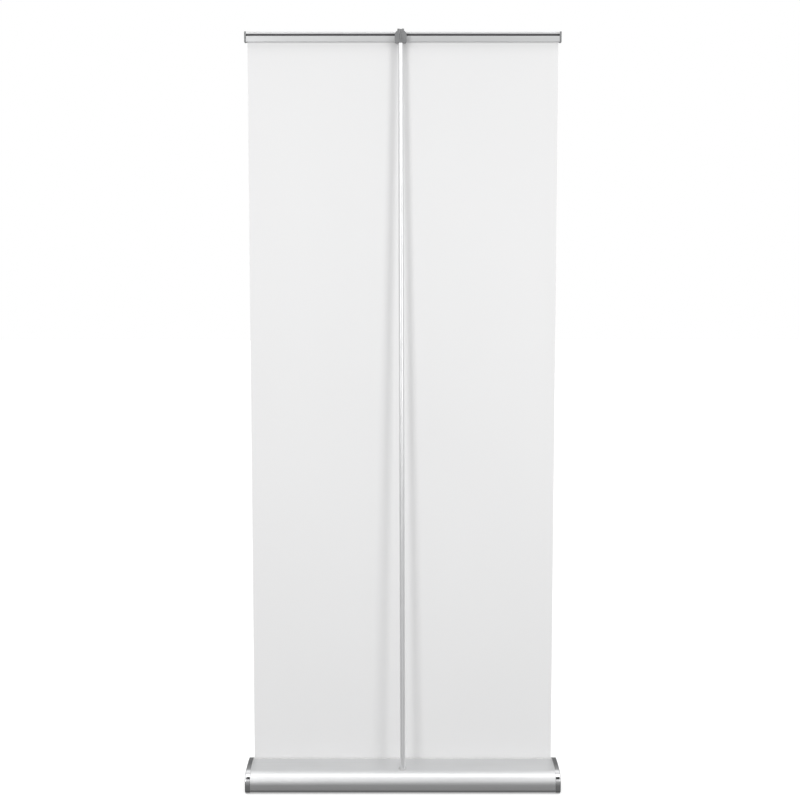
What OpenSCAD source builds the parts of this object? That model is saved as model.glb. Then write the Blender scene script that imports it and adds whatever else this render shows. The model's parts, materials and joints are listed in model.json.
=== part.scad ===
// Roll-up banner stand: a teardrop cassette, a sprung roller, a snap top rail and a three-section pole.
// Millimetres. +Z is up, the graphic faces -Y and the pole stands behind it on the +Y side.
// The origin is on the floor, under the middle of the base.

/* [Graphic] */
// Width of the graphic
graphic_w = 850; // [600:10:1000]
// Height from the slot in the base to the top of the rail
graphic_h = 2040; // [1500:10:2200]
// Thickness of the film
film_t = 0.5; // [0.4:0.1:0.8]

/* [Base] */
// Depth of the base shell, front to back
base_d = 200; // [190:2:230]
// Height of the top of the shell above the floor
base_top = 65; // [62:1:72]
// Wall of the extrusion
wall = 2.2; // [1.8:0.1:3]
// Radius of the rear shoulder
shoulder_r = 34; // [30:1:36]
// Radius of the lower rear corner
corner_r = 10; // [6:1:12]
// Radius of the front lip
lip_r = 8; // [7:0.5:10]
// Fall of the front slope where it leaves the slot, in degrees
front_fall = 22; // [20:1:25]
// Height of the rubber pads
pad_h = 2; // [1.5:0.5:4]
// Width of the slot in the shell
slot_w = 8.4; // [7:0.2:10]
// How much longer the shell is than the graphic is wide
shell_extra = 8; // [6:1:16]
// Width of the chromed band at each end
cap_w = 14; // [12:1:20]

/* [Roller] */
// Outer radius of the roller tube
tube_r = 16; // [15:0.5:17]
// Height of the roller's axis above the floor
roller_z = 33; // [30:1:36]
// Radius of the axles
axle_r = 3; // [2.5:0.5:4]
// Turns of the torsion spring
spring_turns = 30; // [20:1:40]

/* [Rail] */
// Height of the top rail
rail_h = 28; // [26:1:36]
// Thickness of the rail's end plates
rail_cap_t = 5; // [2:0.5:6]

/* [Pole] */
// Outer radius of the pole
pole_r = 7; // [6.5:0.5:8]
// Wall of the pole's tubes
pole_wall = 1; // [0.8:0.1:1.2]
// Distance from the graphic to the pole's foot
pole_foot_y = 66.2; // [62:0.2:70]
// How far the pole's head stands to one side of the middle
pole_head_x = 6; // [0:1:10]
// Length of ferrule inside each of the two tubes that it joins
ferrule_half = 60; // [40:5:80]

/* [Hidden] */
$fn = 64;

gap = 0.05;                            // clearance of a glued or pressed fit
run = 0.1;                             // clearance of a running fit
silver = [0.8, 0.81, 0.82];
steel = [0.6, 0.6, 0.62];
grey = [0.5, 0.5, 0.5];
black = [0.12, 0.12, 0.13];
nylon = [0.9, 0.9, 0.86];

// Base outline, as arcs that run into one another. From the rear: the lower corner, the shoulder,
// the shallow top, the ridge at the slot, the front slope and the lip.
half_d = base_d / 2;
shoulder_z = 25;
shoulder_y = half_d - shoulder_r;
crown = base_top - shoulder_z;
top_r = (pow(shoulder_y, 2) + pow(crown, 2) - pow(shoulder_r, 2)) / (2 * (crown - shoulder_r));
top_z = base_top - top_r;
top_angle = atan2(shoulder_z - top_z, shoulder_y);
ridge_r = 12;
ridge_z = base_top - ridge_r;
fall_dir = [-sin(front_fall), cos(front_fall)];
lip = [-half_d + lip_r, pad_h + lip_r];
lip_from_ridge = lip - [0, ridge_z] - ridge_r * fall_dir;
slope_r = (pow(lip_r, 2) - lip_from_ridge * lip_from_ridge) / (2 * (lip_from_ridge * fall_dir + lip_r));
slope_c = [0, ridge_z] + (ridge_r - slope_r) * fall_dir;
lip_angle = atan2(lip[1] - slope_c[1], lip[0] - slope_c[0]);
shell_half = (graphic_w + shell_extra) / 2;
cap_overlap = 2;
cap_in = shell_half - cap_overlap;
cap_out = cap_in + cap_w;
cap_face_t = 2.5;
cap_fit = 0.2;
cap_proud = 1.7;
bracket_t = 4;
bracket_in = shell_half + 0.2;
bracket_out = bracket_in + bracket_t;
web_y = 44;
port_r = 4.2;
port_hole_r = 1.7;
port_in = wall + port_r - 0.4;          // depth of a port's middle below the outer face
slope_port_angle = 116;
ports = [
    [half_d - port_in, 16],
    [0, top_z] + (top_r - port_in) * [sin(6), cos(6)],
    slope_c + (slope_r - port_in) * [cos(slope_port_angle), sin(slope_port_angle)],
    [-78, pad_h + port_in]
];

// Screws
screw_r = 1.5;
screw_len = 27;
head_r = 3.1;
head_t = 1.8;

// Roller
wound_r = 17.2;
roller_y = wound_r + 0.3;
tube_half = shell_half - 2;
tube_in_r = 14.5;
plug_l = 22;
flange_t = 1.2;
anchor_x = 120;
anchor_l = 15;
spring_r = 7.5;
wire_r = 0.9;

// Rail: its own section is drawn with z = 0 at the top edge.
rail_top = base_top + graphic_h;
rail_half = graphic_w / 2 + 3;
hinge_y = -3;
hinge_z = -4.2;
rod_r = 1.8;
hook_r = 3.4;
web_front = 0.9;
rail_back_y = 8;
groove_top = -6.5;
groove_low = -12;
grip_t = 0.6;
grip_low = -26;
grip_high = -20;
panel_top = rail_top - 16;

// Pole
clip_h = 34;
clip_front = rail_back_y + 1.2;
clip_back = 28;
clip_half = 16;
finger_half = 9;
finger_reach = 5;
finger_gap = 0.6;
finger_t = 3.4;
window_half = 3;
leaf_t = 1.8;
head_y = 20;
foot = [0, pole_foot_y, 10];
head = [pole_head_x, head_y, rail_top - clip_h];
axis = head - foot;
pole_l = norm(axis);
section_l = pole_l / 3;
foot_flange = 1.5;
plug_r = pole_r - pole_wall - gap;
cord_r = 1.5;
knot_r = 3.6;

function arc(c, r, from, to, n) =
    [for (i = [0:n]) let (t = from + (to - from) * i / n) [c[0] + r * cos(t), c[1] + r * sin(t)]];

// The base outline, moved inwards by off
function outline(off) = concat(
    arc([half_d - corner_r, pad_h + corner_r], corner_r - off, -90, 0, 8),
    arc([shoulder_y, shoulder_z], shoulder_r - off, 0, top_angle, 20),
    arc([0, top_z], top_r - off, top_angle, 90, 10),
    arc([0, ridge_z], ridge_r - off, 90, 90 + front_fall, 5),
    arc(slope_c, slope_r - off, 90 + front_fall, lip_angle, 10),
    arc(lip, lip_r - off, lip_angle, 270, 14));

// Extrudes a (y, z) outline along X from x0 to x1
module along_x(x0, x1) {
    translate([x0, 0, 0]) rotate([90, 0, 90]) linear_extrude(x1 - x0) children();
}

module rod_x(x0, x1, r, y = roller_y, z = roller_z) {
    translate([x0, y, z]) rotate([0, 90, 0]) cylinder(h = x1 - x0, r = r);
}

// Places its children on the pole's axis, s above the foot
module on_pole(s) {
    translate(foot) rotate([0, acos(axis[2] / pole_l), atan2(axis[1], axis[0])]) translate([0, 0, s]) children();
}

module box2(y0, z0, y1, z1) {
    translate([y0, z0]) square([y1 - y0, z1 - z0]);
}

// ---- Base ----

module shell_outline() {
    difference() {
        union() {
            difference() {
                polygon(outline(0));
                polygon(outline(wall));
            }
            intersection() {
                box2(web_y, pad_h, web_y + 2, base_top);
                polygon(outline(1));
            }
            for (p = ports) translate(p) circle(port_r);
        }
        for (p = ports) translate(p) circle(port_hole_r);
        box2(-slot_w / 2, base_top - 8, slot_w / 2, base_top + 2);
    }
}

module base_shell() {
    color(silver) difference() {
        along_x(-shell_half, shell_half) shell_outline();
        on_pole(30) cylinder(h = 40, r = 9.7);
    }
}

module end_cap() {
    face_in = cap_out - cap_face_t;
    difference() {
        union() {
            along_x(cap_in, face_in) difference() {
                polygon(outline(-cap_proud));
                polygon(outline(-cap_fit));
            }
            along_x(face_in, cap_out - 1) polygon(outline(-cap_proud));
            along_x(cap_out - 1, cap_out) polygon(outline(-cap_proud + 0.8));
            for (p = ports) rod_x(bracket_out + 0.2, face_in + 0.5, 4.5, p[0], p[1]);
        }
        for (p = ports) {
            rod_x(bracket_out - 1, cap_out + 1, screw_r + 0.3, p[0], p[1]);
            rod_x(cap_out - head_t, cap_out + 1, head_r + 0.3, p[0], p[1]);
        }
    }
}

module end_cap_left() { color(steel) mirror([1, 0, 0]) end_cap(); }
module end_cap_right() { color(steel) end_cap(); }

module bracket_plate() {
    difference() {
        along_x(bracket_in, bracket_out) polygon(outline(0.3));
        for (p = ports) rod_x(bracket_in - 1, bracket_out + 1, screw_r + 0.3, p[0], p[1]);
    }
}

module end_bracket_left() {
    color(black) mirror([1, 0, 0]) difference() {
        bracket_plate();
        rod_x(bracket_in - 1, bracket_out + 1, 2 * axle_r + gap);
    }
}

module end_bracket_right() {
    side = 2 * axle_r - 0.8;
    color(black) difference() {
        bracket_plate();
        along_x(bracket_in - 1, bracket_out + 1) translate([roller_y, roller_z]) square(side, center = true);
    }
}

module screw(p) {
    head_in = cap_out - head_t;
    difference() {
        union() {
            rod_x(head_in - screw_len, head_in, screw_r, p[0], p[1]);
            rod_x(head_in, cap_out, head_r, p[0], p[1]);
        }
        along_x(cap_out - 1, cap_out + 1) translate(p) {
            square([0.9, 3.6], center = true);
            square([3.6, 0.9], center = true);
        }
    }
}

module cap_screws_left() { color(steel) mirror([1, 0, 0]) for (p = ports) screw(p); }
module cap_screws_right() { color(steel) for (p = ports) screw(p); }

module rubber_pads() {
    pad_r = 11;
    color(black) for (x = [-1, 1], y = [-1, 1])
        translate([x * (shell_half - 45), y * (half_d - 28), 0]) cylinder(h = pad_h, r = pad_r);
}

// The stretch of wall between two offsets of the outline, from y0 to y1
module wall_strip(outer, inner, y0, y1) {
    intersection() {
        difference() {
            polygon(outline(outer));
            polygon(outline(inner));
        }
        box2(y0, base_top - 12, y1, base_top + 2);
    }
}

// A soft strip that clips over the lip of the slot and keeps the metal off the graphic
module slot_trim_rear() {
    color(nylon) along_x(-cap_in, cap_in) difference() {
        wall_strip(-0.7, wall + 0.9, slot_w / 2 - 1.5, slot_w / 2 + 2.6);
        wall_strip(-gap, wall + gap, slot_w / 2 - gap, slot_w / 2 + 8);
    }
}

module slot_trim_front() {
    color(nylon) along_x(-cap_in, cap_in) difference() {
        wall_strip(-0.7, wall + 0.9, -slot_w / 2 - 2.6, 1.5 - slot_w / 2);
        wall_strip(-gap, wall + gap, -slot_w / 2 - 8, gap - slot_w / 2);
    }
}

// A low collar that lies on the shell, over a closed tube that holds the pole's foot
module pole_socket() {
    collar_t = 1.6;
    collar_r = 12;
    tube_r = 9.5;
    color(grey) difference() {
        intersection() {
            union() {
                difference() {
                    on_pole(40) cylinder(h = 30, r = collar_r);
                    along_x(-40, 40) polygon(outline(-gap));
                }
                on_pole(-3) cylinder(h = 70, r = tube_r);
            }
            along_x(-40, 40) polygon(outline(-collar_t));
        }
        on_pole(-1) cylinder(h = 80, r = pole_r + run);
    }
}

// ---- Roller and its spring ----

module roller_tube() {
    color(silver) difference() {
        rod_x(-tube_half, tube_half, tube_r);
        rod_x(-tube_half - 1, tube_half + 1, tube_in_r);
    }
}

module roller_plug() {
    rod_x(tube_half - plug_l, tube_half, tube_in_r - gap);
    rod_x(tube_half, tube_half + flange_t, tube_r);
}

module idler_plug() {
    color(black) mirror([1, 0, 0]) difference() {
        roller_plug();
        rod_x(tube_half - plug_l + 4, tube_half + 2, axle_r + gap);
    }
}

module spring_plug() {
    color(black) difference() {
        roller_plug();
        rod_x(tube_half - plug_l - 1, tube_half + 2, axle_r + run);
    }
}

module idler_pin() { color(steel) rod_x(-bracket_out, -tube_half + plug_l - 5, axle_r); }

module idler_bush() {
    color(nylon) difference() {
        rod_x(-bracket_out, -bracket_in, 2 * axle_r);
        rod_x(-bracket_out - 1, -bracket_in + 1, axle_r + run);
    }
}

module spindle() {
    side = 2 * axle_r - 1;
    color(steel) {
        rod_x(anchor_x, bracket_in, axle_r);
        along_x(bracket_in, bracket_out) translate([roller_y, roller_z]) square(side, center = true);
    }
}

module spring_anchor() {
    color(black) difference() {
        rod_x(anchor_x, anchor_x + anchor_l, 10);
        rod_x(anchor_x - 1, anchor_x + anchor_l + 1, axle_r + gap);
    }
}

// One wire of square section wound round the spindle
module torsion_spring() {
    per_turn = 9;
    sides = 4;
    x0 = anchor_x + anchor_l + 1 + wire_r;
    x1 = tube_half - plug_l - 1 - wire_r;
    steps = spring_turns * per_turn;
    points = [for (i = [0:steps], k = [0:sides - 1])
        let (a = 360 * i / per_turn, b = 360 * k / sides, r = spring_r + wire_r * cos(b))
        [x0 + (x1 - x0) * i / steps + wire_r * sin(b), roller_y + r * cos(a), roller_z + r * sin(a)]];
    skin = [for (i = [0:steps - 1], k = [0:sides - 1], half = [0, 1])
        let (a = i * sides + k, b = i * sides + (k + 1) % sides)
        half == 0 ? [a, b, b + sides] : [a, b + sides, a + sides]];
    last = steps * sides;
    ends = [[2, 1, 0], [3, 2, 0], [last, last + 1, last + 2], [last, last + 2, last + 3]];
    color(steel) polyhedron(points, concat(skin, ends));
}

module graphic_roll() {
    color("white") difference() {
        rod_x(-graphic_w / 2, graphic_w / 2, wound_r);
        rod_x(-graphic_w / 2 - 1, graphic_w / 2 + 1, tube_r + gap);
    }
}

module graphic_panel() {
    color("white") translate([-graphic_w / 2, -film_t / 2, roller_z])
        cube([graphic_w, film_t, panel_top - roller_z]);
}

// ---- Top rail ----

module in_rail(x0, x1) { translate([0, 0, rail_top]) along_x(x0, x1) children(); }

module rail_back_outline() {
    difference() {
        polygon([[web_front, 0], [rail_back_y - 3.2, 0], [rail_back_y - 1.6, -0.6], [rail_back_y - 0.5, -2],
            [rail_back_y, -4], [rail_back_y, groove_top], [3.2, groove_top], [3.2, groove_low],
            [rail_back_y, groove_low], [rail_back_y, 3 - rail_h], [7.4, 1 - rail_h], [6.2, -rail_h],
            [web_front, -rail_h]]);
        polygon([[2.7, -1.5], [4.6, -1.5], [6, -2.6], [6.5, -4], [6.5, groove_top + 1.4],
            [2.7, groove_top + 1.4]]);
        polygon([[2.7, groove_low - 1.5], [6.5, groove_low - 1.5], [6.5, 4 - rail_h], [5.7, 1.6 - rail_h],
            [2.7, 1.6 - rail_h]]);
    }
}

module rail_back() {
    arm = 0.8;
    color(silver) {
        in_rail(-rail_half, rail_half) rail_back_outline();
        in_rail(-rail_half, rail_half) box2(hinge_y, hinge_z - arm, web_front + 1, hinge_z + arm);
        rod_x(-rail_half, rail_half, rod_r, hinge_y, rail_top + hinge_z);
    }
}

// The front half of the snap rail: a hook round the hinge rod and a bowed face down to the lip
module rail_jaw_outline() {
    face_r = 42;
    face = arc([hinge_y - hook_r + face_r - 0.6, -14], face_r, 166, 202, 12);
    inner = arc([hinge_y - hook_r + face_r - 0.6, -14], face_r - 1.5, 202, 170, 12);
    difference() {
        union() {
            translate([hinge_y, hinge_z]) circle(hook_r);
            intersection() {
                polygon(concat(face, inner));
                box2(-10, -rail_h, 0, hinge_z);
            }
            box2(-5, -rail_h, -web_front, -rail_h + 1.5);
            box2(-2.4, -rail_h, -web_front, grip_high + 1);
        }
        translate([hinge_y, hinge_z]) circle(rod_r + run);
        translate([hinge_y, hinge_z]) polygon(concat([[0, 0]], arc([0, 0], 2 * hook_r, -30, 65, 6)));
    }
}

module rail_jaw() { color(silver) in_rail(-rail_half, rail_half) rail_jaw_outline(); }

module rail_grip_strip() {
    color(black) in_rail(-graphic_w / 2, graphic_w / 2) box2(web_front - grip_t, grip_low, web_front, grip_high);
}

module jaw_grip_strip() {
    color(black) in_rail(-graphic_w / 2, graphic_w / 2) box2(-web_front, grip_low, grip_t - web_front, grip_high);
}

module rail_end_cap() {
    in_rail(rail_half, rail_half + rail_cap_t) difference() {
        box2(-7.5, -rail_h - 0.6, rail_back_y + 0.5, 0.6);
        for (corner = [[-7.5, 0.6, 0], [rail_back_y + 0.5, 0.6, -90]])
            translate([corner[0], corner[1]]) rotate(45) square(2.4, center = true);
    }
    in_rail(rail_half - 8, rail_half) box2(3, -4.8, 5.9, -2.8);
    in_rail(rail_half - 8, rail_half) box2(3, -19, 6.2, -14);
}

module rail_end_cap_left() { color(grey) mirror([1, 0, 0]) rail_end_cap(); }
module rail_end_cap_right() { color(grey) rail_end_cap(); }

// ---- Pole ----

module pole_tube(s0, s1) {
    difference() {
        on_pole(s0) cylinder(h = s1 - s0, r = pole_r);
        on_pole(s0 - 1) cylinder(h = s1 - s0 + 2, r = pole_r - pole_wall);
    }
}

module pole_lower() { color(silver) pole_tube(foot_flange, section_l); }
module pole_middle() { color(silver) pole_tube(section_l, 2 * section_l); }
module pole_upper() { color(silver) pole_tube(2 * section_l, pole_l); }

module ferrule(s) {
    difference() {
        on_pole(s - ferrule_half) cylinder(h = 2 * ferrule_half, r = plug_r);
        on_pole(s - ferrule_half - 1) cylinder(h = 2 * ferrule_half + 2, r = 4);
    }
}

module ferrule_lower() { color(steel) ferrule(section_l); }
module ferrule_upper() { color(steel) ferrule(2 * section_l); }

module pole_foot_plug() {
    color(black) difference() {
        union() {
            on_pole(0) cylinder(h = foot_flange, r = pole_r);
            on_pole(foot_flange) cylinder(h = 20, r = plug_r);
        }
        on_pole(2) cylinder(h = 10, r = 4.2);
        on_pole(11) cylinder(h = 20, r = cord_r + 0.3);
    }
}

module bungee_cord() {
    low = 7;
    high = pole_l - 12;
    color(black) {
        on_pole(low) cylinder(h = high - low, r = cord_r);
        for (s = [low, high]) on_pole(s) sphere(knot_r);
    }
}

// A rounded block on the pole's head, with two fingers that reach over the rail's top edge
module clip_body() {
    corner = 6;
    depth = clip_back - clip_front;
    spigot_turn = 37;
    color(grey) difference() {
        union() {
            translate([head[0], clip_back, head[2] + 0.3]) rotate([90, 0, 0]) linear_extrude(depth)
                polygon(concat(
                    arc([-clip_half + corner, corner], corner, 180, 270, 6),
                    arc([clip_half - corner, corner], corner, 270, 360, 6),
                    arc([clip_half - corner, clip_h - 2 - corner], corner, 0, 60, 4),
                    arc([-clip_half + corner, clip_h - 2 - corner], corner, 120, 180, 4)));
            translate([head[0] - finger_half, clip_front - finger_reach, rail_top + finger_gap])
                cube([2 * finger_half, depth + finger_reach, finger_t]);
            translate([head[0] - finger_half, clip_front, rail_top - 6])
                cube([2 * finger_half, depth, 6 + finger_gap + finger_t / 2]);
            on_pole(pole_l - 28) rotate(spigot_turn) cylinder(h = 34, r = plug_r);
        }
        translate([head[0] - window_half, clip_front - 8, rail_top - 14]) cube([2 * window_half, 40, 24]);
        translate([head[0] - window_half, clip_back - leaf_t - 0.4, head[2] + 9])
            cube([2 * window_half, 4, 12]);
        on_pole(pole_l - 18) cylinder(h = 12, r = 4.2);
        on_pole(pole_l - 30) cylinder(h = 20, r = cord_r + 0.3);
    }
}

// A sprung leaf let into the back of the clip, with a tongue that reaches into the rail's groove
module clip_latch() {
    half = window_half - 0.3;
    tongue_t = 4.4;
    tongue_z = rail_top + (groove_top + groove_low) / 2 - tongue_t / 2;
    color([0.6, 0.6, 0.6]) {
        translate([head[0] - half, clip_back - leaf_t - 0.2, head[2] + 9.2])
            cube([2 * half, leaf_t, clip_h - 7]);
        translate([head[0] - half, 4, tongue_z]) cube([2 * half, clip_back - 5, tongue_t]);
    }
}

base_shell();
end_cap_left();
end_cap_right();
end_bracket_left();
end_bracket_right();
cap_screws_left();
cap_screws_right();
rubber_pads();
slot_trim_front();
slot_trim_rear();
pole_socket();
idler_bush();
spindle();
spring_anchor();
torsion_spring();
graphic_panel();
roller_tube();
idler_plug();
idler_pin();
spring_plug();
graphic_roll();
rail_back();
rail_grip_strip();
rail_end_cap_left();
rail_end_cap_right();
rail_jaw();
jaw_grip_strip();
pole_lower();
ferrule_lower();
pole_foot_plug();
bungee_cord();
pole_middle();
ferrule_upper();
pole_upper();
clip_body();
clip_latch();
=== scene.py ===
import json
import math

import bmesh
import bpy
from mathutils import Matrix, Vector, noise


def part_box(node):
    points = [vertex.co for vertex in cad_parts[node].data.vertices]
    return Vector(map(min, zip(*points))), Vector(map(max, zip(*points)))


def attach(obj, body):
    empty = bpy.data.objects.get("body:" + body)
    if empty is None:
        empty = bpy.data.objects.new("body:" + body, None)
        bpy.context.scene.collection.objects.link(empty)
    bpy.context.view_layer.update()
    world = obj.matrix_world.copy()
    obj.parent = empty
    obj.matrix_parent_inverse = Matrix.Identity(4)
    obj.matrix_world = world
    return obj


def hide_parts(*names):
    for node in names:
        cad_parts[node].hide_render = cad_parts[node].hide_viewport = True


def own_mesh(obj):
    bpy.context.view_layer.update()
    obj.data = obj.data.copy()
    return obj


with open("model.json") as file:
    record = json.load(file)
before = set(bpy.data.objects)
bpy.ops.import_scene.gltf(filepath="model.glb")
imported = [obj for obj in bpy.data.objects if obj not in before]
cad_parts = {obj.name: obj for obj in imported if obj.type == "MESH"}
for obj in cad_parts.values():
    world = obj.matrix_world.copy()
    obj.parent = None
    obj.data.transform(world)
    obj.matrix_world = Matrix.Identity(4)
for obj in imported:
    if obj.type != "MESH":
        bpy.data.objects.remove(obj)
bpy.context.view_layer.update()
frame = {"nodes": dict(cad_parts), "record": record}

MM = 0.001

# ---- Sizes, in millimetres, of the shapes that are drawn again in finer detail ----

BASE_D = 200
BASE_TOP = 65
WALL = 2.2
PAD_H = 2
SHOULDER_R = 34
SHOULDER_Z = 25
CORNER_R = 10
LIP_R = 8
RIDGE_R = 12
FRONT_FALL = 22
SLOT_HALF = 4.2
CAP_PROUD = 1.7
CAP_OVERLAP = 2
CAP_HEAD_R = 3.4
CAP_HEAD_DEEP = 1.8
RAIL_FRONT = 0.9
RAIL_BACK = 8
HINGE = (-3, -4.2)
HINGE_ROD_R = 1.8
HOOK_R = 3.4
POLE_R = 7
FOOT = Vector((0, 66.2, 10))
SOCKET_R = 9.5
GROOVE_TOP = -6.5
GROOVE_LOW = -12
GROOVE_FLOOR = 3.2
CLIP_H = 34
CLIP_HALF = 16
CLIP_BACK = 28
CLIP_FRONT = RAIL_BACK + 1.2
FINGER_HALF = 9
FINGER_GAP = 3

SHELL_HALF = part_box("base_shell")[1].x / MM
CAP_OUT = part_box("end_cap_right")[1].x / MM
CAP_IN = SHELL_HALF - CAP_OVERLAP
RAIL_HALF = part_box("rail_back")[1].x / MM
RAIL_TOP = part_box("rail_back")[1].z / MM
RAIL_H = RAIL_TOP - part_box("rail_back")[0].z / MM
FILM_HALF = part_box("graphic_panel")[1].x / MM
FILM_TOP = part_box("graphic_panel")[1].z / MM
CLIP_X = (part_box("clip_body")[0].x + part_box("clip_body")[1].x) / 2 / MM
HEAD = Vector((CLIP_X, 20, RAIL_TOP - CLIP_H))
AXIS = (HEAD - FOOT).normalized()
POLE_L = (HEAD - FOOT).length


# ---- Outlines, as lists of points ----


def arc(centre, radius, start, end, count):
    """Points on an arc, from the start angle to the end angle in degrees."""
    turns = [math.radians(start + (end - start) * i / count) for i in range(count + 1)]
    return [(centre[0] + radius * math.cos(t), centre[1] + radius * math.sin(t)) for t in turns]


def rounded(points, radius, count=5):
    """A polygon with every corner rounded; radius is one number or one for each corner."""
    radii = radius if isinstance(radius, (list, tuple)) else [radius] * len(points)
    done = []
    for i, r in enumerate(radii):
        corner = Vector(points[i])
        before = (Vector(points[i - 1]) - corner).normalized()
        after = (Vector(points[(i + 1) % len(points)]) - corner).normalized()
        half = before.angle(after) / 2
        if r <= 0 or half > math.radians(88):
            done.append(tuple(corner))
            continue
        reach = r / math.tan(half)
        middle = corner + (before + after).normalized() * (r / math.sin(half))
        first = corner + before * reach - middle
        turn = first.angle_signed(corner + after * reach - middle)
        for k in range(count + 1):
            done.append(tuple(middle + Matrix.Rotation(-turn * k / count, 2) @ first))
    return done


def box_outline(y0, z0, y1, z1, radius=0.0, count=4):
    return rounded([(y0, z0), (y1, z0), (y1, z1), (y0, z1)], radius, count)


class BaseProfile:
    """The cassette's cross-section: arcs that run into one another, each moved inwards by off."""

    half = BASE_D / 2
    shoulder_y = half - SHOULDER_R
    crown = BASE_TOP - SHOULDER_Z
    top_r = (shoulder_y**2 + crown**2 - SHOULDER_R**2) / (2 * (crown - SHOULDER_R))
    top_z = BASE_TOP - top_r
    top_angle = math.degrees(math.atan2(SHOULDER_Z - top_z, shoulder_y))
    ridge = Vector((0, BASE_TOP - RIDGE_R))
    fall = Vector((-math.sin(math.radians(FRONT_FALL)), math.cos(math.radians(FRONT_FALL))))
    lip = Vector((-half + LIP_R, PAD_H + LIP_R))
    gone = lip - ridge - RIDGE_R * fall
    slope_r = (LIP_R**2 - gone.dot(gone)) / (2 * (gone.dot(fall) + LIP_R))
    slope = ridge + (RIDGE_R - slope_r) * fall
    lip_angle = math.degrees(math.atan2(lip.y - slope.y, lip.x - slope.x))

    @classmethod
    def rear(cls, off):
        """From the floor at the back up to the ridge."""
        return (
            arc((cls.half - CORNER_R, PAD_H + CORNER_R), CORNER_R - off, -90, 0, 10)
            + arc((cls.shoulder_y, SHOULDER_Z), SHOULDER_R - off, 0, cls.top_angle, 28)
            + arc((0, cls.top_z), cls.top_r - off, cls.top_angle, 90, 12)[1:]
        )

    @classmethod
    def front(cls, off):
        """From the ridge down the slope and round the lip to the floor."""
        return (
            arc(cls.ridge, RIDGE_R - off, 90, 90 + FRONT_FALL, 6)[1:]
            + arc(cls.slope, cls.slope_r - off, 90 + FRONT_FALL, cls.lip_angle, 14)[1:]
            + arc(cls.lip, LIP_R - off, cls.lip_angle, 270, 18)[1:]
        )

    @classmethod
    def whole(cls, off):
        return cls.rear(off) + cls.front(off)

    @classmethod
    def height(cls, y, off=0.0):
        """Height of the top surface at y, on the rear side."""
        reach = cls.top_r - off
        z = cls.top_z + math.sqrt(reach**2 - y**2)
        edge = cls.shoulder_y + (SHOULDER_R - off) * math.cos(math.radians(cls.top_angle))
        if y > edge:
            z = SHOULDER_Z + math.sqrt(max((SHOULDER_R - off) ** 2 - (y - cls.shoulder_y) ** 2, 0))
        return z

    @classmethod
    def split(cls, off, gap):
        """The outline with a gap at the slot, from the slot's front edge round to its rear edge."""
        rear = [p for p in cls.rear(off) if p[0] > gap]
        front = [p for p in cls.front(off) if p[0] < -gap]
        return [(-gap, cls.ridge_height(gap, off))] + front + rear + [(gap, cls.height(gap, off))]

    @classmethod
    def ridge_height(cls, gap, off=0.0):
        """Height of the rounded ridge at a distance in front of the slot's middle."""
        return cls.ridge.y + math.sqrt((RIDGE_R - off) ** 2 - gap**2)


# ---- Meshes ----


def finish_mesh(name, verts, faces, sharp=32):
    mesh = bpy.data.meshes.new(name)
    mesh.from_pydata([tuple(c * MM for c in v) for v in verts], [], faces)
    mesh.validate()
    work = bmesh.new()
    work.from_mesh(mesh)
    bmesh.ops.remove_doubles(work, verts=work.verts, dist=0.002 * MM)
    bmesh.ops.recalc_face_normals(work, faces=work.faces)
    work.to_mesh(mesh)
    work.free()
    mesh.polygons.foreach_set("use_smooth", [True] * len(mesh.polygons))
    mesh.set_sharp_from_angle(angle=math.radians(sharp))
    piece = bpy.data.objects.new(name, mesh)
    bpy.context.scene.collection.objects.link(piece)
    return piece


def loft(name, rings, sharp=32, closed=True):
    """A skin through rings of points that all have the same count, with its ends filled."""
    count = len(rings[0])
    verts = [p for ring in rings for p in ring]
    faces = []
    for r in range(len(rings) - 1):
        for i in range(count):
            j = (i + 1) % count
            faces.append((r * count + i, r * count + j, (r + 1) * count + j, (r + 1) * count + i))
    if closed:
        faces.append(tuple(reversed(range(count))))
        faces.append(tuple(range(len(verts) - count, len(verts))))
    return finish_mesh(name, verts, faces, sharp)


def prism_x(name, outline, x0, x1, edge=0.0, steps=3, sharp=32):
    """An outline in (y, z) drawn out along X, with its end edges softened by an inset."""
    if edge <= 0:
        return loft(name, [[(x, y, z) for y, z in outline] for x in (x0, x1)], sharp)
    middle = sum((Vector(p) for p in outline), Vector((0, 0))) / len(outline)
    spread = max((Vector(p) - middle).length for p in outline)
    rings = []
    turns = [90 * i / steps for i in range(steps + 1)]
    for x, way, order in ((x0, 1, turns), (x1, -1, list(reversed(turns)))):
        for t in order:
            inset = edge * (1 - math.sin(math.radians(t)))
            along = x + way * edge * (1 - math.cos(math.radians(t)))
            shrink = 1 - inset / spread
            ring = [middle + (Vector(p) - middle) * shrink for p in outline]
            rings.append([(along, p.x, p.y) for p in ring])
    return loft(name, rings, sharp)


def turned(name, profile, spot, count=96, sharp=32, closed=False):
    """A profile of (radius, height) points turned about the pole's axis; spot places the result."""
    rings = []
    for radius, height in profile:
        turns = [2 * math.pi * i / count for i in range(count)]
        rings.append([spot(radius * math.cos(t), radius * math.sin(t), height) for t in turns])
    if closed:
        rings.append(rings[0])
    return loft(name, rings, sharp, closed=False)


def on_pole(x, y, s):
    """A point at s along the pole from its foot, and (x, y) across it."""
    across = Vector((0, 0, 1)).rotation_difference(AXIS) @ Vector((x, y, 0))
    return tuple(FOOT + AXIS * s + across)


def joined(name, parts):
    bpy.ops.object.select_all(action="DESELECT")
    for part in parts:
        part.select_set(True)
    bpy.context.view_layer.objects.active = parts[0]
    bpy.ops.object.join()
    parts[0].name = name
    parts[0].data.name = name
    parts[0].select_set(False)
    return parts[0]


def apply_modifiers(piece):
    graph = bpy.context.evaluated_depsgraph_get()
    mesh = bpy.data.meshes.new_from_object(piece.evaluated_get(graph))
    piece.modifiers.clear()
    piece.data = mesh
    return piece


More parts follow.
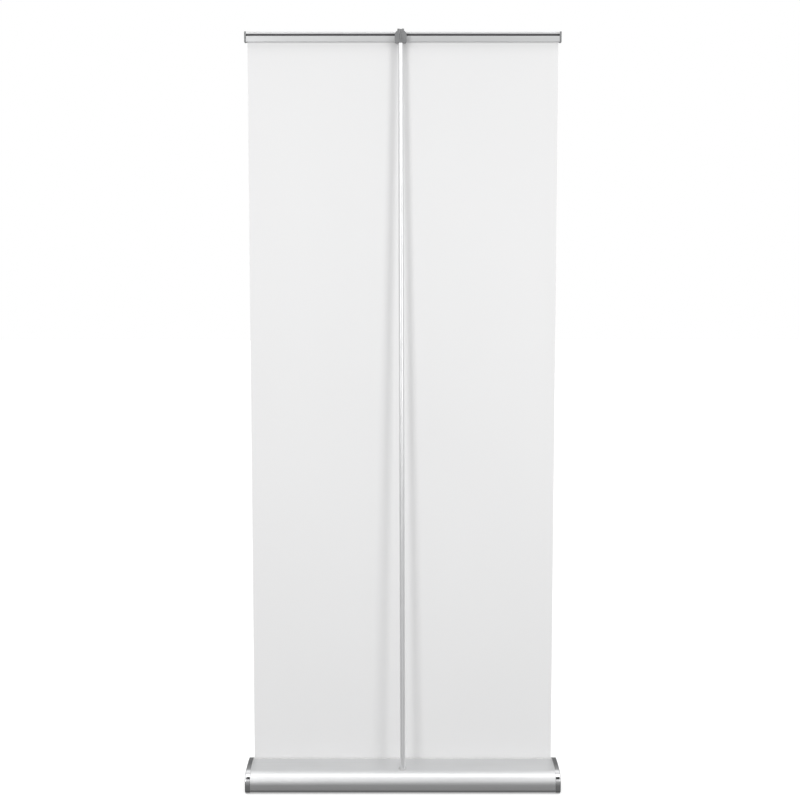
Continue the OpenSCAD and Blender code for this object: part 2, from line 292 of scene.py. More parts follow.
def cut(piece, cutters):
    """Takes the cutters away from the piece and deletes them."""
    for cutter in cutters:
        step = piece.modifiers.new("cut", "BOOLEAN")
        step.object = cutter
        step.solver = "EXACT"
    apply_modifiers(piece)
    for cutter in cutters:
        bpy.data.objects.remove(cutter)
    return piece


def bevel(piece, width, segments=3, angle=35):
    step = piece.modifiers.new("bevel", "BEVEL")
    step.width = width * MM
    step.segments = segments
    step.limit_method = "ANGLE"
    step.angle_limit = math.radians(angle)
    step.harden_normals = True
    return piece


def mirrored(piece, name):
    other = piece.copy()
    other.data = piece.data.copy()
    other.name = name
    other.data.name = name
    other.data.transform(Matrix.Scale(-1, 4, (1, 0, 0)))
    other.data.flip_normals()
    bpy.context.scene.collection.objects.link(other)
    return other


def rod_x(name, x0, x1, radius, y, z, count=32):
    return prism_x(name, arc((y, z), radius, 0, 360 - 360 / count, count - 1), x0, x1)


# ---- Materials ----


class Material:
    """A node material with its Principled shader and short ways to add what feeds it."""

    def __init__(self, name, color, roughness, metallic=0.0, **sockets):
        self.material = bpy.data.materials.new(name)
        self.material.use_nodes = True
        self.nodes = self.material.node_tree.nodes
        self.links = self.material.node_tree.links
        self.shader = self.nodes["Principled BSDF"]
        basics = {"Base Color": (*color, 1), "Roughness": roughness, "Metallic": metallic}
        self.set(self.shader, basics)
        self.set(self.shader, sockets)
        self.place = self.nodes.new("ShaderNodeTexCoord").outputs["Object"]
        self.last_bump = None

    @staticmethod
    def set(node, values):
        for key, value in values.items():
            node.inputs[key].default_value = value

    def scaled(self, scale):
        mapping = self.nodes.new("ShaderNodeMapping")
        mapping.inputs["Scale"].default_value = scale
        self.links.new(self.place, mapping.inputs["Vector"])
        return mapping.outputs["Vector"]

    def noise(self, scale, detail=3.0, rough=0.5):
        node = self.nodes.new("ShaderNodeTexNoise")
        self.set(node, {"Scale": 1.0, "Detail": detail, "Roughness": rough})
        self.links.new(self.scaled(scale), node.inputs["Vector"])
        return node.outputs["Fac"]

    def wave(self, scale, direction="X", distortion=0.0):
        node = self.nodes.new("ShaderNodeTexWave")
        node.bands_direction = direction
        self.set(node, {"Scale": 1.0, "Distortion": distortion, "Detail": 1.0})
        self.links.new(self.scaled(scale), node.inputs["Vector"])
        return node.outputs["Fac"]

    def voronoi(self, scale):
        node = self.nodes.new("ShaderNodeTexVoronoi")
        self.set(node, {"Scale": 1.0})
        self.links.new(self.scaled(scale), node.inputs["Vector"])
        return node.outputs["Distance"]

    def math(self, kind, a, b):
        node = self.nodes.new("ShaderNodeMath")
        node.operation = kind
        for socket, value in zip(node.inputs, (a, b)):
            if isinstance(value, (int, float)):
                socket.default_value = value
            else:
                self.links.new(value, socket)
        return node.outputs[0]

    def between(self, fac, low, high):
        node = self.nodes.new("ShaderNodeMapRange")
        self.set(node, {"From Min": 0.25, "From Max": 0.75, "To Min": low, "To Max": high})
        self.links.new(fac, node.inputs["Value"])
        return node.outputs["Result"]

    def ramp(self, fac, low, high, start=0.3, end=0.7):
        node = self.nodes.new("ShaderNodeValToRGB")
        for stop, color, at in zip(node.color_ramp.elements, (low, high), (start, end)):
            stop.color = (*color, 1)
            stop.position = at
        self.links.new(fac, node.inputs["Fac"])
        return node.outputs["Color"]

    def feed(self, socket, value):
        self.links.new(value, self.shader.inputs[socket])

    def bump(self, height, distance, strength=1.0):
        node = self.nodes.new("ShaderNodeBump")
        self.set(node, {"Strength": strength, "Distance": distance})
        self.links.new(height, node.inputs["Height"])
        if self.last_bump:
            self.links.new(self.last_bump, node.inputs["Normal"])
        self.last_bump = node.outputs["Normal"]
        self.feed("Normal", self.last_bump)


def shaded(color, share):
    """The same hue, darker or lighter, and never past white."""
    return tuple(min(c * share, 1) for c in color)


def extruded_aluminium(name, color, roughness):
    """Satin anodised extrusion: fine die lines along its length and a soft uneven sheen."""
    made = Material(name, color, roughness, 1.0)
    lines = made.noise((1.5, 900, 900), 4.0, 0.6)
    cloud = made.noise((4, 14, 14), 3.0)
    tone = made.math("ADD", made.math("MULTIPLY", lines, 0.6), made.math("MULTIPLY", cloud, 0.4))
    made.feed("Base Color", made.ramp(tone, shaded(color, 0.93), shaded(color, 1.05)))
    made.feed("Roughness", made.between(lines, roughness - 0.05, roughness + 0.06))
    made.bump(lines, 0.00002, 0.35)
    made.bump(made.noise((5000, 5000, 5000), 2.0), 0.000006, 0.3)
    return made.material


def tube_aluminium(name, color):
    """Bright drawn tube: smoother than the extrusions, without the stronger gloss at grazing angles."""
    made = Material(name, color, 0.3, 0.58, **{"Specular Tint": (0, 0, 0, 1)})
    lines = made.noise((700, 700, 2.0), 3.0, 0.5)
    made.feed("Base Color", made.ramp(lines, shaded(color, 0.95), color))
    made.feed("Roughness", made.between(lines, 0.27, 0.36))
    made.bump(lines, 0.00001, 0.2)
    return made.material


def chromed(name, color):
    """Polished plating over moulded plastic, with a trace of flow and fine handling marks."""
    made = Material(name, color, 0.07, 1.0)
    made.feed("Roughness", made.between(made.noise((60, 60, 60), 5.0, 0.65), 0.045, 0.12))
    made.feed("Base Color", made.ramp(made.noise((9, 25, 25), 3.0), shaded(color, 0.94), color))
    made.bump(made.noise((30, 30, 30), 2.0), 0.00003, 0.15)
    return made.material


def moulded_plastic(name, color, roughness=0.48, grain=2600):
    """Moulded plastic with a fine spark-eroded grain and slightly shinier rubbed spots."""
    made = Material(name, color, roughness, 0.0, **{"Specular IOR Level": 0.45})
    mottling = made.noise((45, 45, 45), 4.0)
    made.feed("Base Color", made.ramp(mottling, shaded(color, 0.9), shaded(color, 1.08)))
    made.feed("Roughness", made.between(mottling, roughness - 0.07, roughness + 0.07))
    made.bump(made.voronoi((grain, grain, grain)), 0.00003, 0.4)
    return made.material


def plated_steel(name, color):
    """Zinc plated steel: fine turned lines and a faint patchy spangle."""
    made = Material(name, color, 0.3, 1.0)
    patches = made.voronoi((260, 260, 260))
    made.feed("Roughness", made.between(patches, 0.22, 0.4))
    made.feed("Base Color", made.ramp(patches, shaded(color, 0.85), color))
    made.bump(made.noise((1800, 1800, 1800), 3.0), 0.00002, 0.3)
    return made.material


def soft_rubber(name, color):
    """Matte rubber with a fine pebbled surface and dust in its grain."""
    made = Material(name, color, 0.72, 0.0, **{"Specular IOR Level": 0.35})
    dust = made.noise((120, 120, 120), 5.0, 0.7)
    made.feed("Base Color", made.ramp(dust, color, tuple(c * 1.8 + 0.01 for c in color), 0.45, 0.8))
    made.feed("Roughness", made.between(dust, 0.62, 0.85))
    made.bump(made.noise((1500, 1500, 1500), 3.0), 0.00005, 0.5)
    return made.material


def braided_cord(name, color):
    """Two crossing waves for the braid of an elastic cord."""
    made = Material(name, color, 0.85, 0.0, **{"Sheen Weight": 0.35})
    strands = [made.wave((way * 700, 700, 260), "DIAGONAL") for way in (1, -1)]
    braid = made.math("MULTIPLY", *strands)
    made.feed("Base Color", made.ramp(braid, shaded(color, 0.5), shaded(color, 1.8)))
    made.bump(braid, 0.00025, 0.8)
    return made.material


def banner_film(name, color):
    """Matte coated film: a fine weave under the coating, a soft sheen and slow tone changes."""
    made = Material(name, color, 0.55, 0.0, **{"Specular IOR Level": 0.3, "Sheen Weight": 0.06})
    tone = made.noise((2.2, 2.2, 1.4), 2.0)
    made.feed("Base Color", made.ramp(tone, shaded(color, 0.985), color))
    made.feed("Roughness", made.between(made.noise((600, 600, 600), 2.0), 0.5, 0.62))
    warp = made.wave((420, 1, 1), "X")
    weft = made.wave((1, 1, 420), "Z")
    made.bump(made.math("MULTIPLY", warp, weft), 0.00002, 0.3)
    made.bump(made.noise((3.0, 3.0, 1.1), 2.0), 0.0012, 0.25)
    return made.material


MATERIALS = {
    "satin_aluminium": extruded_aluminium("satin_aluminium", (0.74, 0.745, 0.75), 0.48),
    "pole_aluminium": tube_aluminium("pole_aluminium", (0.92, 0.925, 0.93)),
    "polished_caps": chromed("polished_caps", (0.72, 0.725, 0.735)),
    "steel": plated_steel("steel", (0.6, 0.6, 0.61)),
    "black_plastic": moulded_plastic("black_plastic", (0.03, 0.03, 0.032)),
    "grey_plastic": moulded_plastic("grey_plastic", (0.24, 0.243, 0.247), 0.42),
    "pale_plastic": moulded_plastic("pale_plastic", (0.6, 0.6, 0.602), 0.4),
    "natural_nylon": moulded_plastic("natural_nylon", (0.77, 0.768, 0.76), 0.5),
    "rubber": soft_rubber("rubber", (0.025, 0.025, 0.026)),
    "film": banner_film("film", (0.88, 0.88, 0.882)),
    # Painted shade: this dark material on the inside of the rail's groove stands in for the shade in the
    # recess.
    "groove": moulded_plastic("groove", (0.1, 0.1, 0.103), 0.6, 1500),
    "cord": braided_cord("cord", (0.05, 0.05, 0.052)),
}


def dress(piece, slot):
    piece.data.materials.clear()
    piece.data.materials.append(MATERIALS[slot])


def add(piece, body, slot, *replaced):
    """A finished piece: it rides on its body, takes its slot's material and stands for CAD nodes."""
    dress(piece, slot)
    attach(piece, body)
    if replaced:
        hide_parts(*replaced)
    return piece


# ---- Base ----


def base_shell():
    """The extruded shell, open at the slot, with a hole for the pole's socket."""
    hole_r = SOCKET_R + 0.2
    outline = BaseProfile.split(0, SLOT_HALF) + list(reversed(BaseProfile.split(WALL, SLOT_HALF)))
    shell = prism_x("base_shell_skin", outline, -SHELL_HALF, SHELL_HALF, sharp=40)
    hole = turned("hole", [(hole_r, 30), (hole_r, 80)], on_pole, 64)
    fill_ends(hole)
    cut(shell, [hole])
    smooth(shell, 40)
    add(shell, "base", "satin_aluminium", "base_shell")


def fill_ends(piece):
    work = bmesh.new()
    work.from_mesh(piece.data)
    bmesh.ops.holes_fill(work, edges=[e for e in work.edges if e.is_boundary])
    bmesh.ops.recalc_face_normals(work, faces=work.faces)
    work.to_mesh(piece.data)
    work.free()


def smooth(piece, sharp):
    mesh = piece.data
    mesh.polygons.foreach_set("use_smooth", [True] * len(mesh.polygons))
    mesh.set_sharp_from_angle(angle=math.radians(sharp))


def end_caps():
    """Chromed caps: a proud rim over the shell, a rounded shoulder and a shallow dished face."""
    edge = 2.6
    rim = [(CAP_IN, 0.7), (CAP_IN + 0.15, 0.3), (CAP_IN + 0.6, 0)]
    steps = [(x, inset - CAP_PROUD) for x, inset in rim]
    for turn in (math.radians(t) for t in range(0, 91, 10)):
        steps.append((CAP_OUT - edge * (1 - math.sin(turn)), edge * (1 - math.cos(turn)) - CAP_PROUD))
    dish = [(0, 3.2), (0.12, 3.6), (0.55, 4.1), (0.6, 4.6)]
    steps += [(CAP_OUT - deep, inset) for deep, inset in dish]
    rings = [[(x, y, z) for y, z in BaseProfile.whole(off)] for x, off in steps]
    inner = [[(x, y, z) for y, z in BaseProfile.whole(-0.2)] for x in (CAP_OUT - 2.5, CAP_IN)]
    cap = loft("end_cap_shell_right", [inner[0], inner[1], *rings], sharp=28)
    drill_r = 1.8
    cutters = []
    for y, z in port_places():
        cutters.append(rod_x("recess", CAP_OUT - CAP_HEAD_DEEP, CAP_OUT + 2, CAP_HEAD_R, y, z, 48))
        cutters.append(rod_x("drill", CAP_OUT - 6, CAP_OUT + 2, drill_r, y, z, 32))
    cut(cap, cutters)
    smooth(cap, 28)
    left = mirrored(cap, "end_cap_shell_left")
    add(cap, "base", "polished_caps", "end_cap_right")
    add(left, "base", "polished_caps", "end_cap_left")


def port_places():
    """Middles of the four screws in each end, read from the CAD screws."""
    node = frame["nodes"]["cap_screws_right"].data
    outer = [v.co / MM for v in node.vertices if v.co.x / MM > CAP_OUT - 0.01]
    groups = []
    for point in outer:
        near = [g for g in groups if (g[0] - point).length < 10]
        if near:
            near[0].append(point)
        else:
            groups.append([point])
    middles = []
    for group in groups:
        low = [min(p[i] for p in group) for i in (1, 2)]
        high = [max(p[i] for p in group) for i in (1, 2)]
        middles.append(((low[0] + high[0]) / 2, (low[1] + high[1]) / 2))
    return middles


def screw(name, y, z):
    """A pan head with a cross recess, on a plain shank."""
    head = [(0.0, 0.0), (1.6, -0.02), (2.5, -0.25), (2.95, -0.7), (3.1, -1.2), (3.1, -1.75)]
    shank = [(1.5, -1.8), (1.5, -26), (1.0, -27.5), (0.0, -28.2)]
    count = 40
    turns = [2 * math.pi * i / count for i in range(count)]
    rings = []
    for radius, depth in head + shank:
        reach = max(radius, 0.01)
        x = CAP_OUT - 0.1 + depth
        rings.append([(x, y + reach * math.cos(t), z + reach * math.sin(t)) for t in turns])
    made = loft(name, rings, 30)
    arms = [
        prism_x("arm", box_outline(y - a, z - b, y + a, z + b), CAP_OUT - 1.1, CAP_OUT + 1)
        for a, b in ((1.75, 0.42), (0.42, 1.75))
    ]
    cut(made, arms)
    smooth(made, 30)
    return made


def cap_screws():
    screws = [screw(f"screw_{i}", y, z) for i, (y, z) in enumerate(port_places())]
    right = joined("cap_screw_set_right", screws)
    left = mirrored(right, "cap_screw_set_left")
    add(right, "base", "steel", "cap_screws_right")
    add(left, "base", "steel", "cap_screws_left")


def slot_trims():
    """Soft lips over both edges of the slot, each with a bead towards the film."""
    inner = SLOT_HALF - 1.5
    outer = SLOT_HALF + 2.6
    rear_z = (BaseProfile.height(SLOT_HALF), BaseProfile.height(outer))
    front_z = (BaseProfile.ridge_height(SLOT_HALF), BaseProfile.ridge_height(outer) - 0.35)
    radii = [0.3, 0.6, 0.8, 0.1, 0.1, 0.05, 0.05, 0.1, 0.3]
    for place, side, (lip_z, far_z) in (("rear", 1, rear_z), ("front", -1, front_z)):
        under = lip_z - WALL
        points = [
            (inner, under - 0.8), (inner, lip_z + 0.65), (SLOT_HALF + 1.0, (lip_z + far_z) / 2 + 0.8),
            (outer, far_z + 0.05), (outer, far_z - 0.35), (SLOT_HALF + 0.02, lip_z + 0.02),
            (SLOT_HALF + 0.02, under - 0.05), (SLOT_HALF + 1.6, under - 0.15),
            (SLOT_HALF + 1.6, under - 0.8),
        ]
        outline = rounded([(side * y, z) for y, z in points], radii, 4)
        lip = prism_x(f"slot_lip_{place}", outline, -CAP_IN, CAP_IN)
        add(lip, "base", "natural_nylon", f"slot_trim_{place}")


def pole_socket():
    """A collar that follows the shell, round the mouth of a closed tube."""
    turns = [2 * math.pi * i / 96 for i in range(96)]
    flange = [
        (12.0, 0.05), (11.9, 0.55), (11.4, 1.05), (10.6, 1.35),
        (9.4, 1.5), (8.2, 1.45), (7.5, 1.15), (7.15, 0.5),
    ]
    mouth = 40.0
    rings = []
    for radius, lift in flange:
        ring = []
        for t in turns:
            s = mouth
            for _ in range(4):
                point = Vector(on_pole(radius * math.cos(t), radius * math.sin(t), s))
                s += BaseProfile.height(point.y, -lift) - point.z
            ring.append(tuple(point))
        rings.append(ring)
    tube = [(7.12, mouth), (7.1, -1), (0.5, -1), (0.5, -3), (SOCKET_R, -3), (SOCKET_R, 44)]
    for radius, s in tube:
        rings.append([on_pole(radius * math.cos(t), radius * math.sin(t), s) for t in turns])
    rings.append(rings[0])
    socket = loft("pole_socket_collar", rings, 40, closed=False)
    add(socket, "base", "grey_plastic", "pole_socket")
    dress(socket, "pale_plastic")


# ---- Graphic ----


def film_panel():
    """The pulled-out film. Near the roll and the rail it is flat; between them its side edges curl.

    The curl stays in the part of the height that is clear of roll and rail when all is wound in.
    """
    low_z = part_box("graphic_panel")[0].z / MM
    span = FILM_TOP - low_z
    free_low, free_high = 0.4, 0.82
    columns, rows = 90, 150
    thick = 0.3
    verts, faces = [], []
    for r in range(rows + 1):
        up = r / rows
        share = min(max((up - free_low) / (free_high - free_low), 0), 1)
        free = math.sin(math.pi * share) ** 2
        for c in range(columns + 1):
            across = 2 * c / columns - 1
            x = FILM_HALF * math.copysign(1 - (1 - abs(across)) ** 1.25, across) if across else 0.0
            inset = FILM_HALF - abs(x)
            curl = 1.5 * math.exp(-((inset / 16.0) ** 2)) + 0.45 * math.exp(-((inset / 70.0) ** 2))
            wave = 0.5 * noise.noise(Vector((x / 300, up * 3.2, 4.7)))
            verts.append((x, free * (curl + wave), low_z + span * up))
    for r in range(rows):
        for c in range(columns):
            a = r * (columns + 1) + c
            faces.append((a, a + 1, a + columns + 2, a + columns + 1))
    panel = finish_mesh("graphic_film", verts, faces, 60)
    skin = panel.modifiers.new("thickness", "SOLIDIFY")
    skin.thickness = thick * MM
    skin.offset = 0
    apply_modifiers(panel)
    smooth(panel, 60)
    add(panel, "base", "film", "graphic_panel")
    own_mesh(panel)


# ---- Top rail ----


def rail_points(points):
    """Points measured from the rail's top edge, moved to where the rail is."""
    return [(y, RAIL_TOP + z) for y, z in points]


def rail_back():
    """The rear half of the snap rail, with its groove and the rod that the jaw turns on."""
    arm_half = 0.8
    outer = [
        (RAIL_FRONT, 0), (RAIL_BACK, 0), (RAIL_BACK, GROOVE_TOP), (GROOVE_FLOOR, GROOVE_TOP),
        (GROOVE_FLOOR, GROOVE_LOW), (RAIL_BACK, GROOVE_LOW), (RAIL_BACK, -RAIL_H), (RAIL_FRONT, -RAIL_H),
        (RAIL_FRONT, HINGE[1] - arm_half), (HINGE[0], HINGE[1] - arm_half),
        (HINGE[0], HINGE[1] + arm_half), (RAIL_FRONT, HINGE[1] + arm_half),
    ]
    radii = [0.5, 4.0, 0.3, 0.25, 0.25, 0.3, 0.9, 0.3, 0.2, 0, 0, 0.2]
    body = prism_x("rail_body", rail_points(rounded(outer, radii, 5)), -RAIL_HALF, RAIL_HALF)
    near, far = 2.7, 6.5
    upper_end, lower_start = GROOVE_TOP + 1.4, GROOVE_LOW - 1.5
    pockets = [
        [(near, -1.5), (4.6, -1.5), (6, -2.6), (far, -4), (far, upper_end), (near, upper_end)],
        [
            (near, lower_start), (far, lower_start), (far, 4 - RAIL_H), (5.7, 1.6 - RAIL_H),
            (near, 1.6 - RAIL_H),
        ],
    ]
    cut(body, [prism_x("pocket", rail_points(p), -RAIL_HALF - 5, RAIL_HALF + 5) for p in pockets])
    smooth(body, 32)
    rod = rod_x("rod", -RAIL_HALF, RAIL_HALF, HINGE_ROD_R, HINGE[0], RAIL_TOP + HINGE[1])
    profile = joined("rail_back_profile", [body, rod])
    add(profile, "top_rail", "satin_aluminium", "rail_back")
    # Painted shade: the groove's inside takes a dark material in place of its shade.
    paint_groove_shade(profile)
    # The film's even light passes the rail, so that only the lamps shade the film under it.
    profile.visible_diffuse = False


def paint_groove_shade(profile):
    """Painted shade: the inside of the groove gets a dark, rougher material that stands in for the shade in
    that recess.
    """
    slack = 0.1
    profile.data.materials.append(MATERIALS["groove"])
    for face in profile.data.polygons:
        middle = face.center / MM
        in_depth = GROOVE_FLOOR - slack < middle.y < RAIL_BACK - 0.4
        in_height = GROOVE_LOW - slack < middle.z - RAIL_TOP < GROOVE_TOP + slack
        if abs(face.normal.x) < 0.5 and in_depth and in_height:
            face.material_index = 1


def rail_jaw():
    """The hinged front half: a hook round the rod and a bowed face down to the lip."""
    face_r = 42
    wall = 1.5
    middle = (HINGE[0] - HOOK_R + face_r - 0.6, -14)
    inner_top = HINGE[1] - HOOK_R + 0.6
    lip_top, lip_back = -19, -2.4
    face = [p for p in arc(middle, face_r, 166, 202, 18) if -RAIL_H < p[1] < HINGE[1]]
    inner = [p for p in arc(middle, face_r - wall, 202, 170, 18) if wall - RAIL_H < p[1] < inner_top]
    hook_out = arc(HINGE, HOOK_R, 64, 190, 14)
    hook_in = arc(HINGE, HINGE_ROD_R + 0.1, 330, 66, 24)
    hook_back = [p for p in arc(HINGE, HOOK_R, 215, 330, 14) if p[0] > inner[-1][0]]
    lip = [
        (face[-1][0], -RAIL_H), (-RAIL_FRONT, -RAIL_H), (-RAIL_FRONT, lip_top), (lip_back, lip_top),
        (lip_back, wall - RAIL_H),
    ]
    outline = hook_out + face + lip + inner + hook_back + hook_in
    jaw = prism_x("rail_jaw_profile", rail_points(outline), -RAIL_HALF, RAIL_HALF, sharp=35)
    add(jaw, "rail_jaw", "satin_aluminium", "rail_jaw")


def rail_end_caps():
    """Thin plates over the rail's ends, each held by two lugs in the rail's pockets."""
    front, back, past = -7.5, 8.5, 0.6
    corners = [(front, -RAIL_H - past), (back, -RAIL_H - past), (back, past), (front, past)]
    outline = rail_points(rounded(corners, [2.2, 2.2, 2.6, 2.6], 6))
    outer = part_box("rail_end_cap_right")[1].x / MM
    plate = prism_x("plate", outline, RAIL_HALF + 0.02, outer, 0.9, 4)
    lugs = [
        prism_x("lug", rail_points(box_outline(3, z0, y1, z1, 0.3)), RAIL_HALF - 8, RAIL_HALF + 0.6)
        for z0, y1, z1 in ((-4.8, 5.9, -2.8), (-19, 6.2, -14))
    ]
    right = joined("rail_end_plate_right", [plate, *lugs])
    left = mirrored(right, "rail_end_plate_left")
    add(right, "top_rail", "grey_plastic", "rail_end_cap_right")
    add(left, "top_rail", "grey_plastic", "rail_end_cap_left")


# ---- Pole ----


def pole_sections():
    """Three thin tubes, each a hair short of the next so that they don't touch when they part."""
    section = POLE_L / 3
    foot_flange = 1.5
    seam = 0.08
    spans = [
        ("pole_tube_lower", foot_flange, section - seam, "pole_lower"),
        ("pole_tube_middle", section, 2 * section - seam, "pole_middle"),
        ("pole_tube_upper", 2 * section, POLE_L, "pole_upper"),
    ]
    inner = POLE_R - 1
    edge = 0.25
    for name, low, high, node in spans:
        profile = [
            (inner, low + edge), (inner + edge, low), (POLE_R - edge, low), (POLE_R, low + edge),
            (POLE_R, high - edge), (POLE_R - edge, high), (inner + edge, high), (inner, high - edge),
        ]
        tube = turned(name, profile, on_pole, 96, 30, closed=True)
        add(tube, node, "pole_aluminium", node)


# ---- Clip ----


def prism_y(name, outline, y0, y1, sharp=32):
    """An outline in (x, z) drawn out along Y."""
    return loft(name, [[(x, y, z) for x, z in outline] for y in (y0, y1)], sharp)


def clip():
    """The moulded head: a rounded block behind the rail and two fingers over its top edge."""
    x, z = HEAD.x, HEAD.z
    shoulder = CLIP_H - 9
    half = [(CLIP_HALF, 0.3), (CLIP_HALF, shoulder), (FINGER_HALF + 1.5, CLIP_H - 2.2)]
    outline = [(x + a, z + b) for a, b in half] + [(x - a, z + b) for a, b in reversed(half)]
    block = prism_y("block", rounded(outline, [6, 4, 3, 3, 4, 6], 8), CLIP_FRONT, CLIP_BACK)
    left, right = x - FINGER_GAP, x + FINGER_GAP
    window = prism_y("window", box_outline(left, RAIL_TOP - 14, right, RAIL_TOP + 9), 0, 40)
    recess = prism_y("recess", box_outline(left, z + 9, right, z + 21), CLIP_BACK - 2.2, CLIP_BACK + 5)
    cut(block, [window, recess])
    smooth(block, 30)
    bevel(block, 0.9, 4)
    tip, back, over, root = CLIP_FRONT - 5, CLIP_BACK - 0.6, RAIL_TOP + 0.6, RAIL_TOP - 6
    hook = [(tip, over), (CLIP_FRONT, over), (CLIP_FRONT, root), (back, root), (back, RAIL_TOP + 4)]
    hook = rounded([*hook, (tip, RAIL_TOP + 4)], [0.8, 0.4, 0, 0, 3.2, 1.6], 6)
    for place, near, far in (("left", x - FINGER_HALF, left), ("right", right, x + FINGER_HALF)):
        finger = prism_x(f"clip_finger_{place}", hook, near, far, 1.9, 6)
        add(finger, "pole_upper", "grey_plastic")
    profile = [(0.5, -28), (5.0, -28), (5.9, -27), (5.9, 2), (0.5, 2)]
    spigot = turned("clip_spigot", [(radius, POLE_L + s) for radius, s in profile], on_pole, 48)
    add(spigot, "pole_upper", "grey_plastic")
    block.name = "clip_block"
    add(block, "pole_upper", "grey_plastic", "clip_body")


def clip_latch():
    """The sprung leaf in the clip's back, ribbed for a thumb, with its tongue in the rail's groove."""
    x, z = HEAD.x, HEAD.z
    back = CLIP_BACK - 0.2
    thick, rib_deep, rib_step = 1.8, 0.5, 1.7
    points = [(back - thick, z + 9.2), (back, z + 9.2)]
    for i in range(5):
        low = z + 25 + rib_step * i
        points += [(back, low), (back, low + 0.3), (back - rib_deep, low + 0.6), (back - rib_deep, low + 1.0)]
    points += [(back, z + 34.2), (back, z + 36.2), (back - thick, z + 36.2)]
    leaf = prism_x("leaf", points, x - 2.7, x + 2.7, 0.25, 2)
    tongue_z = RAIL_TOP + (GROOVE_TOP + GROOVE_LOW) / 2
    low, high, root = tongue_z - 2.2, tongue_z + 2.2, back - 0.4
    outline = [(4, low + 0.6), (5.5, low), (root, low), (root, high), (5.5, high), (4, high - 1.2)]
    tongue = prism_x("tongue", rounded(outline, 0.4, 3), x - 2.6, x + 2.6, 0.3, 2)
    add(joined("clip_latch_leaf", [leaf, tongue]), "pole_upper", "grey_plastic", "clip_latch")


# ---- CAD nodes that keep their shape ----


def dress_frame():
    """Every CAD node gets its slot's material, and the small hard ones a softened edge."""
    slots = {s["node"]: s["material_slot"] for s in frame["record"]["subparts"]}
    for name, node in frame["nodes"].items():
        dress(node, slots[name])
    for name in ("rubber_pads", "end_bracket_left", "end_bracket_right", "spring_anchor"):
        bevel(frame["nodes"][name], 0.5, 2, 50)


# ---- Studio ----


KEY_POWER = 31
EVEN_LIGHT = 0.5
SOFTENED = 0.6

# Brightness of the surround against the angle about the X axis: 0 is level towards the camera,
# 90 is overhead, 180 is level behind the stand.
SURROUND = [
    (-180, 0.9), (-165, 0.9), (-150, 0.5), (-110, 0.22), (-70, 0.1), (-24, 0.18),
    (-9, 0.3), (4, 0.38), (14, 0.55), (20, 0.95), (31, 1.0), (36, 0.04),
    (53, 0.04), (59, 2.3), (77, 2.5), (82, 1.4), (88, 0.8), (94, 1.1),
    (98, 1.15), (108, 1.3), (120, 1.05), (132, 0.7), (139, 0.4), (147, 0.22),
    (158, 0.22), (165, 0.9), (180, 0.9),
]
SURROUND_PEAK = 2.5


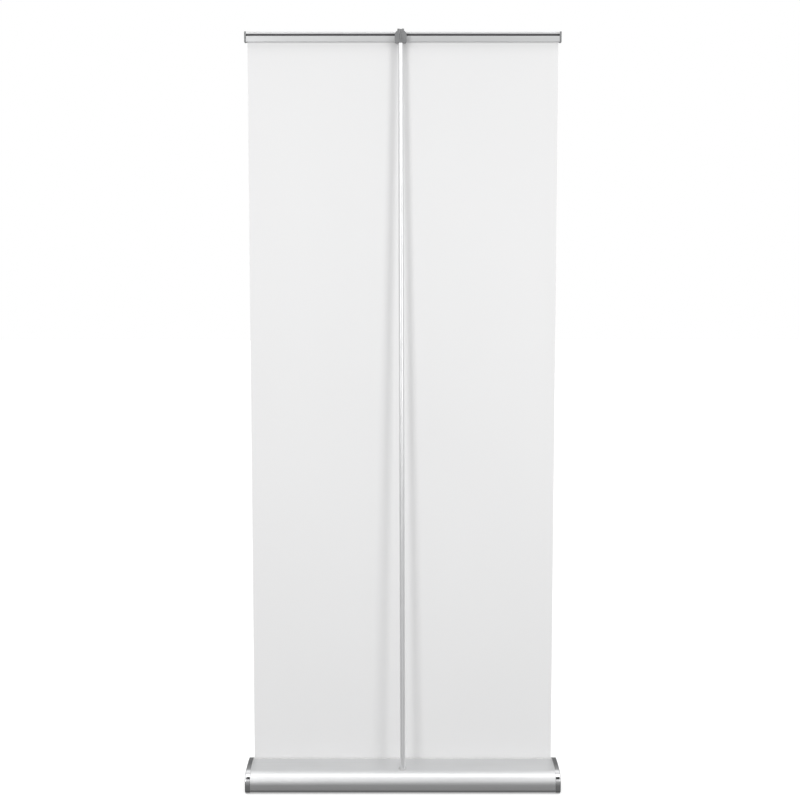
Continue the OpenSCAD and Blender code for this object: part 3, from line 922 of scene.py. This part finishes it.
def surround():
    """White to the camera, an even light on what is matte, and bright and dark bands in what is glossy.

    The bands are weaker in reflections that light the film, so that the pole casts no bright stripes.
    """
    world = bpy.data.worlds.new("studio")
    world.use_nodes = True
    nodes, links = world.node_tree.nodes, world.node_tree.links
    nodes.clear()

    def node(kind, **values):
        made = nodes.new(kind)
        for key, value in values.items():
            made.inputs[key].default_value = value
        return made

    def calc(kind, *inputs):
        made = nodes.new("ShaderNodeMath")
        made.operation = kind
        for socket, value in zip(made.inputs, inputs):
            if isinstance(value, (int, float)):
                socket.default_value = value
            else:
                links.new(value, socket)
        return made.outputs[0]

    split = node("ShaderNodeSeparateXYZ")
    links.new(node("ShaderNodeTexCoord").outputs["Generated"], split.inputs["Vector"])
    turn = calc("DIVIDE", calc("ARCTAN2", split.outputs["Z"], split.outputs["Y"]), 2 * math.pi)
    bands = node("ShaderNodeValToRGB")
    links.new(calc("ADD", turn, 0.5), bands.inputs["Fac"])
    elements = bands.color_ramp.elements
    while len(elements) < len(SURROUND):
        elements.new(0.5)
    for element, (angle, value) in zip(elements, SURROUND):
        element.position = (angle + 180) / 360
        element.color = (*[value / SURROUND_PEAK] * 3, 1)
    sides = {"From Min": 0.45, "From Max": 0.75, "To Min": 1.0, "To Max": 0.5}
    fade = node("ShaderNodeMapRange", **sides)
    links.new(calc("ABSOLUTE", split.outputs["X"]), fade.inputs["Value"])
    cast = node("ShaderNodeBackground")
    links.new(bands.outputs["Color"], cast.inputs["Color"])
    path = node("ShaderNodeLightPath")
    after_matte = calc("MINIMUM", path.outputs["Diffuse Depth"], 1.0)
    bounced = calc("MULTIPLY", after_matte, path.outputs["Is Glossy Ray"])
    dimmed = calc("SUBTRACT", SURROUND_PEAK, calc("MULTIPLY", bounced, SOFTENED * SURROUND_PEAK))
    links.new(calc("MULTIPLY", fade.outputs["Result"], dimmed), cast.inputs["Strength"])
    even = node("ShaderNodeBackground", Color=(1, 1, 1, 1), Strength=EVEN_LIGHT)
    unlit = node("ShaderNodeMixShader")
    links.new(path.outputs["Is Diffuse Ray"], unlit.inputs["Fac"])
    links.new(cast.outputs["Background"], unlit.inputs[1])
    links.new(even.outputs["Background"], unlit.inputs[2])
    seen = node("ShaderNodeBackground", Color=(1, 1, 1, 1), Strength=1.0)
    mix = node("ShaderNodeMixShader")
    links.new(path.outputs["Is Camera Ray"], mix.inputs["Fac"])
    links.new(unlit.outputs["Shader"], mix.inputs[1])
    links.new(seen.outputs["Background"], mix.inputs[2])
    links.new(mix.outputs["Shader"], node("ShaderNodeOutputWorld").inputs["Surface"])
    bpy.context.scene.world = world


def studio_floor():
    """A pale floor that glows white, with a painted contact shadow: its glow is dimmed where something stands
    close over it.
    """
    reach = 40
    mesh = bpy.data.meshes.new("floor")
    corners = [(-reach, -reach, 0), (reach, -reach, 0), (reach, reach, 0), (-reach, reach, 0)]
    mesh.from_pydata(corners, [], [(0, 1, 2, 3)])
    floor = bpy.data.objects.new("floor", mesh)
    bpy.context.scene.collection.objects.link(floor)
    paint = Material("floor_paint", (0.4, 0.4, 0.4), 0.9, **{"Emission Color": (1, 1, 1, 1)})
    # Painted shadow: ambient occlusion dims the floor's glow near the stand.
    near = paint.nodes.new("ShaderNodeAmbientOcclusion")
    near.inputs["Distance"].default_value = 0.11
    paint.feed("Emission Strength", paint.between(near.outputs["AO"], 0.35, 0.9))
    mesh.materials.append(paint.material)
    floor.visible_glossy = False
    floor.visible_diffuse = False


def studio():
    """A pale floor, a soft surround and a tall soft lamp at each side of the camera."""
    studio_floor()
    surround()
    aim = Vector((0, 0, 1.3))
    for name, spot in (("key_right", Vector((-2.2, 2.35, 1.9))), ("key_left", Vector((1.75, 2.7, 1.9)))):
        light = bpy.data.lights.new(name, "AREA")
        light.shape = "RECTANGLE"
        light.size = 0.9
        light.size_y = 2.6
        light.energy = KEY_POWER
        lamp = bpy.data.objects.new(name, light)
        lamp.location = spot
        lamp.rotation_euler = (aim - spot).to_track_quat("-Z", "Y").to_euler()
        bpy.context.scene.collection.objects.link(lamp)


def camera():
    """Behind the stand, a little above the middle of its height and tilted slightly down."""
    lens = bpy.data.cameras.new("camera")
    lens.sensor_width = 36
    lens.lens = 53.8
    eye = bpy.data.objects.new("camera", lens)
    eye.location = (0.0078, 3.338, 1.368)
    eye.rotation_euler = (math.radians(90 - 4.655), 0, math.radians(180))
    bpy.context.scene.collection.objects.link(eye)
    bpy.context.scene.camera = eye


camera()
studio()
dress_frame()
base_shell()
end_caps()
cap_screws()
slot_trims()
pole_socket()
film_panel()
rail_back()
rail_jaw()
rail_end_caps()
pole_sections()
clip()
clip_latch()

bpy.context.scene.view_settings.view_transform = "Standard"
